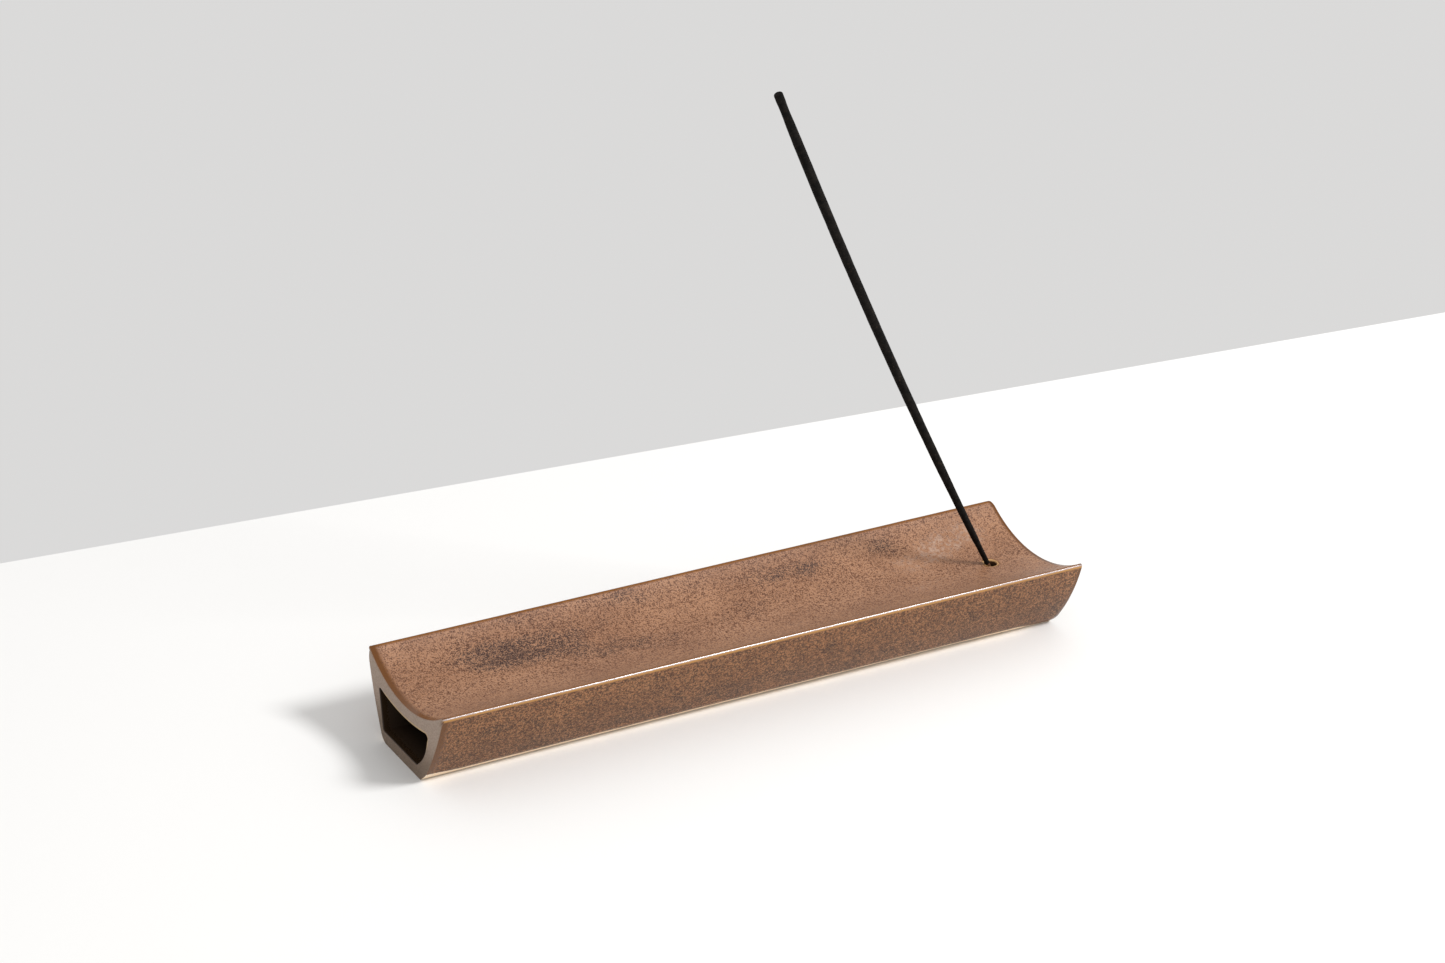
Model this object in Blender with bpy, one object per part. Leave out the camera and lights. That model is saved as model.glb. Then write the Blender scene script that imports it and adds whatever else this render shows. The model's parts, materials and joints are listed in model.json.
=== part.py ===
"""Incense burner: a hollow stoneware bar with a troughed top, and the stick that leans in it.

The bar lies along X and stands on its underside at Z = 0. Both ends are cut square. A tunnel
runs right through it, and a small upright hole joins the trough to the tunnel near the +X end.
The incense stick goes down through that hole and leans back over the trough, towards -X.
"""

import math

import bmesh
import bpy
from mathutils import Vector

MM = 0.001

# Bar. Half widths are given at the -X end and at the +X end, where the section opens a little.
LENGTH = 230.0 * MM
LIP_HEIGHT = 27.2 * MM
LIP_HALF_WIDTH = (24.2 * MM, 25.3 * MM)
FOOT_HALF_WIDTH = (13.2 * MM, 13.6 * MM)
SIDE_BULGE = (0.5 * MM, 1.5 * MM)
TROUGH_DEPTH = 7.9 * MM
FOOT_ROUND = 3.2 * MM
END_ROUND = 0.35 * MM

# The lip's sharp corner stands this far out and up before the rounding takes it back.
LIP_ROUND = 1.5 * MM
LIP_CORNER_OUT = 0.5 * MM
LIP_CORNER_UP = 0.55 * MM

# Tunnel. The opening sits a little towards the back, and its front wall slants.
TUNNEL_FLOOR = 3.8 * MM
TUNNEL_TOP_CORNER = 16.9 * MM
TUNNEL_CEILING_SAG = 1.7 * MM
TUNNEL_BACK = (16.2 * MM, 12.9 * MM)
TUNNEL_FRONT = (-16.1 * MM, -9.2 * MM)
TUNNEL_FRONT_BULGE = 1.2 * MM
TUNNEL_CRISP_CORNER = 0.6 * MM
TUNNEL_SOFT_CORNER = 2.4 * MM
TUNNEL_MOUTH_ROUND = 0.2 * MM

# Stick hole, upright through the trough floor.
HOLE_X = 97.6 * MM
HOLE_RADIUS = 2.1 * MM
HOLE_RIM = 0.5 * MM
HOLE_RIM_TURN = math.radians(75)
HOLE_CUT_PAST = 1.0 * MM
HOLE_SIDES = 32

# Incense stick. Distances along it are counted from the trough floor.
STICK_LEAN = math.radians(28.5)
STICK_SHOWING = 198.8 * MM
STICK_BOW = 1.83 * MM
STICK_FLOOR_GAP = 0.3 * MM
CORE_RADIUS = 0.7 * MM
CORE_TOP = 195.0 * MM
CORE_END_CHAMFER = 0.15 * MM
COAT_GAP = 0.2 * MM
COAT_RADII = (
    (13.0 * MM, 1.10 * MM),
    (30.0 * MM, 1.27 * MM),
    (60.0 * MM, 1.47 * MM),
    (110.0 * MM, 1.55 * MM),
    (170.0 * MM, 1.53 * MM),
    (190.0 * MM, 1.31 * MM),
    (196.0 * MM, 1.38 * MM),
)
TIP_ROUND = 0.7 * MM
TIP_TURN = math.radians(80)

# How finely the round stretches are cut: round the stick, along each side of an outline and
# round each of its corners (both in the order of its corners). The foot's bends are plain.
STICK_SIDES = 20
CORE_STEPS = 16
COAT_STEPS = 22
BAR_STEPS = (26, 8, 1, 8)
TUNNEL_STEPS = (14, 6, 1, 2)
CORNER_STEPS = 5
BAR_CORNER_STEPS = (CORNER_STEPS, CORNER_STEPS, 2, 2)
TUNNEL_CORNER_STEPS = (CORNER_STEPS,) * 4
SHARP_EDGE = math.radians(35)


def arc_between(start, end, sag, trim_start, trim_end, steps):
    """Points on the circular arc from start to end that bulges by sag to the left of the way.

    The two trims, as lengths, shorten it at its ends and leave room for a rounded corner.
    """
    chord = end - start
    length = chord.length
    along = chord / length
    left = Vector((-along.y, along.x))
    half = length / 2
    points = []
    for step in range(steps + 1):
        run = trim_start + (length - trim_start - trim_end) * step / steps
        offset = 0.0
        if abs(sag) > 1e-9:
            radius = (half * half + sag * sag) / (2 * abs(sag))
            rise = math.sqrt(radius * radius - (run - half) ** 2) - (radius - abs(sag))
            offset = math.copysign(rise, sag)
        points.append(start + along * run + left * offset)
    return points


def outline(corners, sags, trims, steps, corner_steps):
    """A closed outline: an arc between each two corners, and a rounded bend at each corner."""
    count = len(corners)
    arcs = []
    for i in range(count):
        j = (i + 1) % count
        arcs.append(arc_between(corners[i], corners[j], sags[i], trims[i], trims[j], steps[i]))
    points = []
    for i in range(count):
        j = (i + 1) % count
        points += arcs[i]
        corner = corners[j]
        before = arcs[i][-1]
        after = arcs[j][0]
        for step in range(1, corner_steps[j]):
            t = step / corner_steps[j]
            points.append(before * (1 - t) ** 2 + corner * (2 * t * (1 - t)) + after * t ** 2)
    return points


def outer_section(t):
    """The bar's outline in Y and Z, at t = 0 on the -X end and t = 1 on the +X end."""
    lip = LIP_HALF_WIDTH[0] + (LIP_HALF_WIDTH[1] - LIP_HALF_WIDTH[0]) * t
    foot = FOOT_HALF_WIDTH[0] + (FOOT_HALF_WIDTH[1] - FOOT_HALF_WIDTH[0]) * t
    bulge = SIDE_BULGE[0] + (SIDE_BULGE[1] - SIDE_BULGE[0]) * t
    lip_y = lip + LIP_CORNER_OUT
    lip_z = LIP_HEIGHT + LIP_CORNER_UP
    corners = [
        Vector((lip_y, lip_z)),
        Vector((-lip_y, lip_z)),
        Vector((-foot, 0)),
        Vector((foot, 0)),
    ]
    sags = [TROUGH_DEPTH + LIP_CORNER_UP, -bulge, 0, -bulge]
    trims = [LIP_ROUND, LIP_ROUND, FOOT_ROUND, FOOT_ROUND]
    return outline(corners, sags, trims, BAR_STEPS, BAR_CORNER_STEPS)


def tunnel_section():
    """The tunnel's outline in Y and Z."""
    corners = [
        Vector((TUNNEL_BACK[0], TUNNEL_TOP_CORNER)),
        Vector((TUNNEL_FRONT[0], TUNNEL_TOP_CORNER)),
        Vector((TUNNEL_FRONT[1], TUNNEL_FLOOR)),
        Vector((TUNNEL_BACK[1], TUNNEL_FLOOR)),
    ]
    sags = [TUNNEL_CEILING_SAG, -TUNNEL_FRONT_BULGE, 0, 0]
    crisp = TUNNEL_CRISP_CORNER
    trims = [crisp, TUNNEL_SOFT_CORNER, crisp, crisp]
    return outline(corners, sags, trims, TUNNEL_STEPS, TUNNEL_CORNER_STEPS)


def moved_inward(points, distance):
    """The closed outline, each point moved by distance to the left of the way round."""
    count = len(points)
    moved = []
    for i in range(count):
        way = points[(i + 1) % count] - points[i - 1]
        left = Vector((-way.y, way.x)).normalized()
        moved.append(points[i] + left * distance)
    return moved


def bar_section(t, inset):
    """The bar's outline moved inward, but not at the underside, whose end edges stay crisp."""
    section = outer_section(t)
    moved = moved_inward(section, inset)
    return [point.lerp(new, min(1.0, point.y / FOOT_ROUND)) for point, new in zip(section, moved)]


def end_stations(radius, steps=3):
    """(x, t, inset) for the rings of a bar whose end edges are rounded by radius."""
    stations = []
    for step in range(steps + 1):
        angle = math.pi / 2 * step / steps
        stations.append((radius * (1 - math.sin(angle)), radius * (1 - math.cos(angle))))
    near = [(-LENGTH / 2 + run, 0.0, inset) for run, inset in reversed(stations)]
    far = [(LENGTH / 2 - run, 1.0, inset) for run, inset in stations]
    return near + far


def add_rings(mesh, rings):
    """Join each ring of points to the next with quads, and give back the end rings' vertices."""
    rows = [[mesh.verts.new(point) for point in ring] for ring in rings]
    for row, after in zip(rows, rows[1:]):
        for i in range(len(row)):
            j = (i + 1) % len(row)
            mesh.faces.new((row[i], row[j], after[j], after[i]))
    return rows[0], rows[-1]


def new_object(name, mesh, material=None):
    """Make an object from a bmesh, shaded smooth except at its sharp edges."""
    bmesh.ops.recalc_face_normals(mesh, faces=mesh.faces)
    data = bpy.data.meshes.new(name)
    mesh.to_mesh(data)
    mesh.free()
    data.shade_smooth()
    data.set_sharp_from_angle(angle=SHARP_EDGE)
    if material:
        data.materials.append(material)
    piece = bpy.data.objects.new(name, data)
    bpy.context.collection.objects.link(piece)
    return piece


def make_material(name, colour, roughness, coat=0.0):
    material = bpy.data.materials.new(name)
    material.use_nodes = True
    shader = material.node_tree.nodes["Principled BSDF"]
    shader.inputs["Base Color"].default_value = (*colour, 1.0)
    shader.inputs["Roughness"].default_value = roughness
    shader.inputs["Metallic"].default_value = 0.0
    shader.inputs["Coat Weight"].default_value = coat
    return material


def burner_body(material):
    """The bar: an outer skin and a tunnel skin, joined by a flat face at each end."""
    mesh = bmesh.new()
    outer_rings = []
    tunnel_rings = []
    for x, t, inset in end_stations(END_ROUND):
        outer_rings.append([Vector((x, p.x, p.y)) for p in bar_section(t, inset)])
    for x, t, inset in end_stations(TUNNEL_MOUTH_ROUND):
        section = moved_inward(tunnel_section(), -inset)
        tunnel_rings.append([Vector((x, p.x, p.y)) for p in section])
    outer_ends = add_rings(mesh, outer_rings)
    tunnel_ends = add_rings(mesh, tunnel_rings)
    for outer_end, tunnel_end in zip(outer_ends, tunnel_ends):
        loops = []
        for ring in (outer_end, tunnel_end):
            for i in range(len(ring)):
                loops.append(mesh.edges.get((ring[i - 1], ring[i])))
        bmesh.ops.triangle_fill(mesh, edges=loops, use_beauty=True)
    body = new_object("burner_body", mesh, material)
    cut = body.modifiers.new("stick_hole", "BOOLEAN")
    cut.operation = "DIFFERENCE"
    cut.solver = "EXACT"
    cut.object = hole_cutter()
    return body


def hole_cutter():
    """A turned spool: the upright hole, with a rounded rim where it meets each surface."""
    top = LIP_HEIGHT - TROUGH_DEPTH
    bottom = TUNNEL_TOP_CORNER - TUNNEL_CEILING_SAG
    rim = []
    for step in range(CORNER_STEPS + 1):
        angle = HOLE_RIM_TURN * step / CORNER_STEPS
        rim.append((HOLE_RIM * (1 - math.cos(angle)), HOLE_RIM * (1 - math.sin(angle))))
    rise = HOLE_CUT_PAST / math.tan(HOLE_RIM_TURN)
    rim.append((rim[-1][0] + HOLE_CUT_PAST, rim[-1][1] - rise))
    profile = [(HOLE_RADIUS + out, bottom + inward) for out, inward in reversed(rim)]
    profile += [(HOLE_RADIUS + out, top - inward) for out, inward in rim]
    mesh = bmesh.new()
    rings = []
    for radius, height in profile:
        ring = []
        for side in range(HOLE_SIDES):
            angle = 2 * math.pi * side / HOLE_SIDES
            ring.append(Vector((radius * math.cos(angle), radius * math.sin(angle), height)))
        rings.append(ring)
    for end in add_rings(mesh, rings):
        mesh.faces.new(end)
    cutter = new_object("stick_hole_cutter", mesh)
    cutter.location.x = HOLE_X
    cutter.hide_render = True
    cutter.display_type = "WIRE"
    return cutter


def bow_radius():
    """Radius of the stick's slight natural bow, from its rise over the length that shows."""
    return STICK_SHOWING ** 2 / (8 * STICK_BOW)


def stick_rings(stations):
    """Rings round the stick's bowed centre line, one for each (distance, radius) station.

    The line is straight along Z up to the trough floor, and then bends slowly towards +X.
    """
    radius_of_bow = bow_radius()
    rings = []
    for distance, radius in stations:
        bend = max(distance, 0.0) / radius_of_bow
        centre = Vector((radius_of_bow * (1 - math.cos(bend)), 0, radius_of_bow * math.sin(bend)))
        centre.z += min(distance, 0.0)
        across = Vector((math.cos(bend), 0, -math.sin(bend)))
        ring = []
        for side in range(STICK_SIDES):
            angle = 2 * math.pi * side / STICK_SIDES
            spoke = across * math.cos(angle) + Vector((0, 1, 0)) * math.sin(angle)
            ring.append(centre + spoke * radius)
        rings.append(ring)
    return rings


def coat_radius(distance):
    """The paste's radius at a distance along the stick, read smoothly between COAT_RADII."""
    for (low, low_radius), (high, high_radius) in zip(COAT_RADII, COAT_RADII[1:]):
        if distance <= high:
            t = (distance - low) / (high - low)
            ease = t * t * (3 - 2 * t)
            return low_radius + (high_radius - low_radius) * ease
    return COAT_RADII[-1][1]


def stick_axis():
    """An empty on the line the stick slides out along, where it meets the trough floor."""
    lean_at_hole = STICK_LEAN + STICK_SHOWING / bow_radius() / 2
    floor = LIP_HEIGHT - TROUGH_DEPTH
    hole_middle = (floor + TUNNEL_TOP_CORNER - TUNNEL_CEILING_SAG) / 2
    axis = bpy.data.objects.new("stick_axis", None)
    axis.location = (HOLE_X - (floor - hole_middle) * math.tan(lean_at_hole), 0, floor)
    axis.rotation_euler = (0, -lean_at_hole, 0)
    bpy.context.collection.objects.link(axis)
    return axis, lean_at_hole


def bamboo_core(axis, lean, material):
    """The bare bamboo: down through the hole to the tunnel's floor, and up inside the paste."""
    floor = LIP_HEIGHT - TROUGH_DEPTH
    drop = floor - TUNNEL_FLOOR - STICK_FLOOR_GAP - CORE_RADIUS * math.sin(lean)
    bottom = -drop / math.cos(lean)
    chamfer = CORE_END_CHAMFER
    stations = [(bottom, CORE_RADIUS - chamfer), (bottom + chamfer, CORE_RADIUS)]
    stations += [(CORE_TOP * step / CORE_STEPS, CORE_RADIUS) for step in range(CORE_STEPS)]
    stations += [(CORE_TOP - chamfer, CORE_RADIUS), (CORE_TOP, CORE_RADIUS - chamfer)]
    mesh = bmesh.new()
    for end in add_rings(mesh, stick_rings(stations)):
        mesh.faces.new(end)
    piece = new_object("bamboo_core", mesh, material)
    piece.parent = axis
    return piece


def incense_coat(axis, material):
    """The paste: a sleeve round the bamboo, thin at its lower end and closed at the tip."""
    start = COAT_RADII[0][0]
    steps = COAT_STEPS
    outside = []
    for step in range(steps + 1):
        distance = start + (STICK_SHOWING - TIP_ROUND - start) * step / steps
        outside.append((distance, coat_radius(distance)))
    tip_radius = COAT_RADII[-1][1]
    for step in range(1, CORNER_STEPS + 1):
        angle = TIP_TURN * step / CORNER_STEPS
        distance = STICK_SHOWING - TIP_ROUND * (1 - math.sin(angle))
        outside.append((distance, tip_radius - TIP_ROUND * (1 - math.cos(angle))))
    bore = CORE_RADIUS + COAT_GAP
    bore_end = CORE_TOP + COAT_GAP
    inside = [(bore_end + (start - bore_end) * step / steps, bore) for step in range(steps + 1)]
    mesh = bmesh.new()
    foot, tip = add_rings(mesh, stick_rings(outside))
    bore_top, bore_foot = add_rings(mesh, stick_rings(inside))
    mesh.faces.new(tip)
    mesh.faces.new(bore_top)
    for i in range(STICK_SIDES):
        mesh.faces.new((foot[i - 1], foot[i], bore_foot[i], bore_foot[i - 1]))
    piece = new_object("incense_coat", mesh, material)
    piece.parent = axis
    return piece


def main():
    for item in list(bpy.data.objects):
        bpy.data.objects.remove(item, do_unlink=True)
    glaze = make_material("brown_glaze", (0.205, 0.110, 0.066), 0.42, coat=0.2)
    paste = make_material("black_paste", (0.010, 0.009, 0.008), 0.85)
    bamboo = make_material("bamboo", (0.33, 0.17, 0.07), 0.6)
    burner_body(glaze)
    axis, lean = stick_axis()
    bamboo_core(axis, lean, bamboo)
    incense_coat(axis, paste)


main()
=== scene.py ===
"""Looks of the incense burner: a glazed stoneware bar, and the black stick that leans in it.

Everything is in metres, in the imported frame: the bar lies along X and stands on Z = 0, and the
stick goes through an upright hole near the +X end and leans back over the trough, towards -X.
"near" is the -X end and "far" the +X end; "front" is the -Y side and "back" the +Y side.
"""

import json
import math

import bpy
from mathutils import Matrix, Vector, noise


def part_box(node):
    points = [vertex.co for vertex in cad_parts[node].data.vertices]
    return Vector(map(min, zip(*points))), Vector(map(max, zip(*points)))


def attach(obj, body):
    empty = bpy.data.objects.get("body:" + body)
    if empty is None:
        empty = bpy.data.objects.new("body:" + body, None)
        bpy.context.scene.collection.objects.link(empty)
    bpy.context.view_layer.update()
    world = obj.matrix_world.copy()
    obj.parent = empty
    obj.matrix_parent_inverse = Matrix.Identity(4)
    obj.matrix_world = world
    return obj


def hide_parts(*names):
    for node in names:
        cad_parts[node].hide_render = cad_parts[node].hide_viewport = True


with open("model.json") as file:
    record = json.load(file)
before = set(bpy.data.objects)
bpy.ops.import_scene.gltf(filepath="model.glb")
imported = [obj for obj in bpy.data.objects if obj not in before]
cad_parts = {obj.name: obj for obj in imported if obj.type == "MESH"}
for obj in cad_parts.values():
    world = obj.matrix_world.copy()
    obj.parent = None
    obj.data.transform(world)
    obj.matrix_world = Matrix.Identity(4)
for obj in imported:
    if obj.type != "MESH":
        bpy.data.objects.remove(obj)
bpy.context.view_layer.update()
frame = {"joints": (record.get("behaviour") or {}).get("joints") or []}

MM = 0.001

# Camera: where it looks from, as on a tripod with its head a little off level.
CAMERA_PLACE = Vector((-0.51423, -0.77324, 0.52749))
CAMERA_AZIMUTH = math.radians(-33.19)
CAMERA_ELEVATION = math.radians(26.30)
CAMERA_ROLL = math.radians(-3.873)
CAMERA_LENS = 84.71
CAMERA_SENSOR = 36.0

# Studio: one soft key light, a pale grey room and a white table that ends behind the bar. The
# table's back edge runs through the two points.
KEY_DIRECTION = Vector((0.47, -0.50, 0.73)).normalized()
KEY_DISTANCE = 1.8
KEY_WIDTH = math.radians(16)
KEY_IRRADIANCE = 2.40
ROOM_GREY = (0.705, 0.70, 0.695)
TABLE_WHITE = (0.862, 0.857, 0.846)
TABLE_BACK = (Vector((-0.177, 0.167)), Vector((0.4165, 0.129)))
TABLE_REACH = 2.5
TABLE_THICK = 0.04

# Bar: its length, its lips' height and the far lip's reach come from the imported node's box.
# A pair gives the near end's value and the far end's.
BAR_LOW, BAR_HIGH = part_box("burner_body")
LENGTH = BAR_HIGH.x - BAR_LOW.x
LIP_TOP = BAR_HIGH.z
LIP_FLARE = 1.1 * MM
LIP_OUT = (BAR_HIGH.y - LIP_FLARE, BAR_HIGH.y)
LIP_RADIUS = 0.8 * MM
FOOT_HALF_WIDTH = (13.2 * MM, 13.6 * MM)
FOOT_ROUND_BACK = 3.1 * MM
FOOT_BEVEL_TOP = (4.4 * MM, 4.8 * MM)
FOOT_BEVEL_TURN = (3.0 * MM, 2.6 * MM)
FOOT_BEVEL_EDGE = (11.6 * MM, 12.3 * MM)
FOOT_BEVEL_CHANGE = (0.80, 0.97)
TROUGH_SLOPE_GUESS = math.radians(36)
SIDE_SLOPE_GUESS = math.radians(72)
SLOPE_PASSES = 4
LIP_TURN_SPLIT = math.radians(234)
TANGENT_STEP = 0.99
SIDE_BULGE = (0.9 * MM, 1.6 * MM)
TROUGH_FLOOR = 19.3 * MM
END_ROUND = 0.3 * MM
CORNER_IN_PLAN = {"near_front": 1.0 * MM, "near_back": 1.3 * MM,
                  "far_front": 0.3 * MM, "far_back": 3.0 * MM}
WAVINESS = 0.14 * MM
WAVE_LENGTH = 38 * MM
WAVE_ROUND_BAR = 1.6
WAVE_FINER = (3.1, 0.18)
WAVE_FADE_HEIGHT = 6 * MM

# Tunnel: its corners in Y and Z, how far the walls between them bulge, and how round they are.
TUNNEL_CORNERS = ((16.2, 16.9), (-16.1, 16.9), (-9.2, 3.8), (12.9, 3.8))
TUNNEL_SAGS = (1.7, -1.2, 0.0, 0.0)
TUNNEL_ROUNDS = (0.9, 2.4, 0.8, 0.9)
TUNNEL_CEILING = (TUNNEL_CORNERS[0][1] - TUNNEL_SAGS[0]) * MM
TUNNEL_FLOOR = 3.8 * MM
TUNNEL_INSIDE = (3.4 * MM, 17.4 * MM)
TUNNEL_WALL = 1.6 * MM
MOUTH_ROUND = 0.35 * MM
MOUTH_ZONE = 0.6 * MM
MOUTH_FAR = 9 * MM

# Where the end faces begin, and how wide the amber line is at each end, as a share.
ON_END_FACE = 0.02 * MM
OFF_END_FACE = 0.25 * MM
END_LINE = {"near": 1.0, "far": 0.55}

# Points round a section, stretch by stretch, and rings along the bar.
TROUGH_STEPS = 64
TIP_STEPS = 12
SIDE_STEPS = 30
BEND_STEPS = 7
BOTTOM_STEPS = 20
BAR_RINGS = 180
TUNNEL_RINGS = 90
ROUND_RINGS = 6
CAP_RINGS = 6

# Stick hole.
HOLE_X = 97.6 * MM
HOLE_RADIUS = 2.1 * MM
HOLE_RIM = 0.5 * MM
HOLE_SIDES = 64
HOLE_RIM_STEPS = 8
HOLE_RIM_TURN = math.radians(78)
HOLE_CUT_PAST = 1.0 * MM
HOLE_CUT_SLOPE = 0.2126

# Stick. Distances are counted along it from the trough floor, and widths are diameters.
STICK_AXIS = Vector(frame["joints"][0]["axis"]).normalized()
STICK_SHOWING = 198.8 * MM
STICK_BOW = 1.83 * MM
STICK_SIDES = 32
STICK_RING_GAP = 0.55 * MM
PASTE_START = 0.3 * MM
PASTE_END = 198.7 * MM
PASTE_WIDTHS = ((0, 1.66), (8, 1.82), (14, 2.20), (20, 2.30), (30, 2.50), (38, 2.65), (50, 2.85),
                (75, 2.95), (120, 3.05), (170, 3.04), (180, 2.93), (186, 2.80), (192, 2.56),
                (197, 2.78), (200, 2.78))
PASTE_FOOT_ROUND = 0.5 * MM
PASTE_FOOT_THIN = 0.05
PASTE_TIP_ROUND = 0.55 * MM
PASTE_TIP_TURN = math.radians(84)
PASTE_TIP_STEPS = 7
PASTE_LUMPS = 0.035
BORE_GAP = 0.05 * MM
BORE_PAST = 0.3 * MM
BORE_STEPS = 40
BAMBOO_RADIUS = 0.68 * MM
BAMBOO_TOP = 195.0 * MM
BAMBOO_CHAMFER = 0.15 * MM
BAMBOO_STEPS = 150
FLOOR_GAP = 0.3 * MM

SMOOTH_ANGLE = math.radians(50)

# Denser speckle on the trough: centre and half widths in X and Y (mm), and strength. Where the
# strength is below 0 the glaze is painted paler: a painted sheen with some wear.
TROUGH_PATCHES = (
    (-74, 12, 20, 7.5, 1.35), (-52, 8, 15, 7, 0.70), (-34, 3, 19, 6, 0.70), (-27, 20, 14, 4, 0.45),
    (-12, 16, 15, 5, 0.20), (22, 17, 11, 4.5, 0.80), (37, 17, 7, 3.5, 0.75), (5, 5, 16, 5, 0.30),
    (69, 17, 9, 4, 0.75), (82, 13, 14, 8, -0.7), (99, 16, 13, 6, -0.65), (109, 6, 5, 5, 0.55),
    (-96, -4, 9, 5, 0.30),
)

# Colours of the glaze, where it runs thin, and of what it leaves bare.
GLAZE_LIGHT = ((0.302, 0.146, 0.075), (0.366, 0.184, 0.097))
GRAIN_DARK = (0.085, 0.023, 0.005)
GRAIN_DARK_DENSE = (0.030, 0.009, 0.006)
FLECK_PALE = (0.46, 0.27, 0.175)
# Pale colour painted where the trough catches a sheen, with some wear.
PALE_SHEEN_AND_WEAR = (0.47, 0.33, 0.255)
SIDE_TINT = (0.930, 0.825, 0.610)
SIDE_PIT = (0.048, 0.020, 0.006)
LIP_AMBER = (0.180, 0.062, 0.006)
END_AMBER = (0.115, 0.036, 0.001)
LIP_GOLD = (0.44, 0.215, 0.052)
# A pale colour painted on the lip's shoulder: a painted highlight.
LIP_HIGHLIGHT_PAINT = (0.52, 0.45, 0.44)
HOLE_AMBER = (0.150, 0.052, 0.004)
HOLE_GOLD = (0.56, 0.33, 0.14)
# Painted shade down the stick hole's wall.
HOLE_WALL_SHADE = (0.075, 0.034, 0.013)
# Painted shade inside the tunnel: near black deep in, a little lighter at the mouth.
TUNNEL_DEEP_SHADE = (0.010, 0.006, 0.003)
TUNNEL_MOUTH_SHADE = (0.034, 0.019, 0.010)
MOUTH_GOLD = (0.50, 0.34, 0.16)
END_FACE_LOW = ((0.115, 0.075, 0.048), (0.200, 0.138, 0.094))
END_FACE_HIGH = ((0.235, 0.165, 0.122), (0.360, 0.266, 0.205))
RAW_CLAY = ((0.82, 0.62, 0.43), (0.94, 0.77, 0.58))

# Colours of the stick.
PASTE_BLACK = ((0.0030, 0.0026, 0.0023), (0.0085, 0.0070, 0.0060))
PASTE_GREY = (0.019, 0.014, 0.011)
PASTE_WOOD = (0.040, 0.024, 0.014)
BAMBOO_BROWN = ((0.13, 0.048, 0.018), (0.26, 0.11, 0.042))
BAMBOO_STAIN = (0.070, 0.028, 0.013)


def blend_between(pair, t):
    return pair[0] + (pair[1] - pair[0]) * t


def smoothstep(low, high, value):
    t = min(1.0, max(0.0, (value - low) / (high - low)))
    return t * t * (3 - 2 * t)


# ---------------------------------------------------------------- outlines in Y and Z

def on_arc(start, end, sag, run):
    """The point at run along the chord, on the arc from start to end that bulges to the left."""
    chord = end - start
    half = chord.length / 2
    along = chord.normalized()
    left = Vector((-along.y, along.x))
    offset = 0.0
    if abs(sag) > 1e-9:
        radius = (half * half + sag * sag) / (2 * abs(sag))
        rise = math.sqrt(radius * radius - (run - half) ** 2) - (radius - abs(sag))
        offset = math.copysign(rise, sag)
    return start + along * run + left * offset


def arc(start, end, sag, steps, crowd=0.0, trims=(0.0, 0.0)):
    """Points from start up to, but not at, end, on an arc that bulges by sag to the left.

    crowd, from 0 to 1, draws the points towards both ends. The trims shorten it at its ends.
    """
    first = trims[0]
    last = (end - start).length - trims[1]
    points = []
    for step in range(steps):
        even = step / steps
        t = even + (0.5 - 0.5 * math.cos(math.pi * even) - even) * crowd
        points.append(on_arc(start, end, sag, first + (last - first) * t))
    return points


def bend(before, corner, after, steps):
    """Points from before up to, but not at, after, on a smooth bend round a corner."""
    points = []
    for step in range(steps):
        t = step / steps
        points.append(before * (1 - t) ** 2 + corner * (2 * t * (1 - t)) + after * t ** 2)
    return points


def mirrored(point):
    return Vector((-point.x, point.y))


def lip_shape(t):
    """At t along the bar: the lip's centre, and the slopes of trough and side that leave it."""
    centre = Vector((blend_between(LIP_OUT, t) - LIP_RADIUS, LIP_TOP - LIP_RADIUS))
    foot = Vector((blend_between(FOOT_HALF_WIDTH, t), 0.0))
    trough_slope = TROUGH_SLOPE_GUESS
    side_slope = SIDE_SLOPE_GUESS
    for _ in range(SLOPE_PASSES):
        top = centre + LIP_RADIUS * Vector((-math.sin(trough_slope), math.cos(trough_slope)))
        out = centre + LIP_RADIUS * Vector((math.sin(side_slope), -math.cos(side_slope)))
        trough_slope = 2 * math.atan((top.y - TROUGH_FLOOR) / top.x)
        chord = out - foot
        side_slope = math.atan2(chord.y, chord.x)
        side_slope += 2 * math.atan(2 * blend_between(SIDE_BULGE, t) / chord.length)
    return centre, foot, top, out, trough_slope, side_slope


def round_foot(foot, out, bulge):
    """The back foot's bend: where it leaves the underside, its corner, where it joins the side."""
    up = on_arc(foot, out, -bulge, FOOT_ROUND_BACK)
    way = up - on_arc(foot, out, -bulge, FOOT_ROUND_BACK * TANGENT_STEP)
    corner = up - way * (up.y / way.y)
    return corner - Vector((FOOT_ROUND_BACK, 0)), corner, up


def bevelled_foot(foot, out, bulge, t):
    """The front foot, wiped to a bevel with a crisp lower edge, in the same three points.

    The bevel turns softer near the far end. Also gives back how far up the side it starts.
    """
    small = smoothstep(*FOOT_BEVEL_CHANGE, t)
    top = blend_between(FOOT_BEVEL_TOP, small)
    corner = on_arc(foot, out, -bulge, blend_between(FOOT_BEVEL_TURN, small))
    edge = Vector((blend_between(FOOT_BEVEL_EDGE, small), 0))
    return edge, corner, on_arc(foot, out, -bulge, top), top


def lip_tip(centre, start, end):
    """Points round the lip's tip, from the angle start up to, but not at, the angle end."""
    points = []
    for step in range(TIP_STEPS):
        angle = start + (end - start) * step / TIP_STEPS
        points.append(centre + LIP_RADIUS * Vector((math.cos(angle), math.sin(angle))))
    return points


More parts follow.
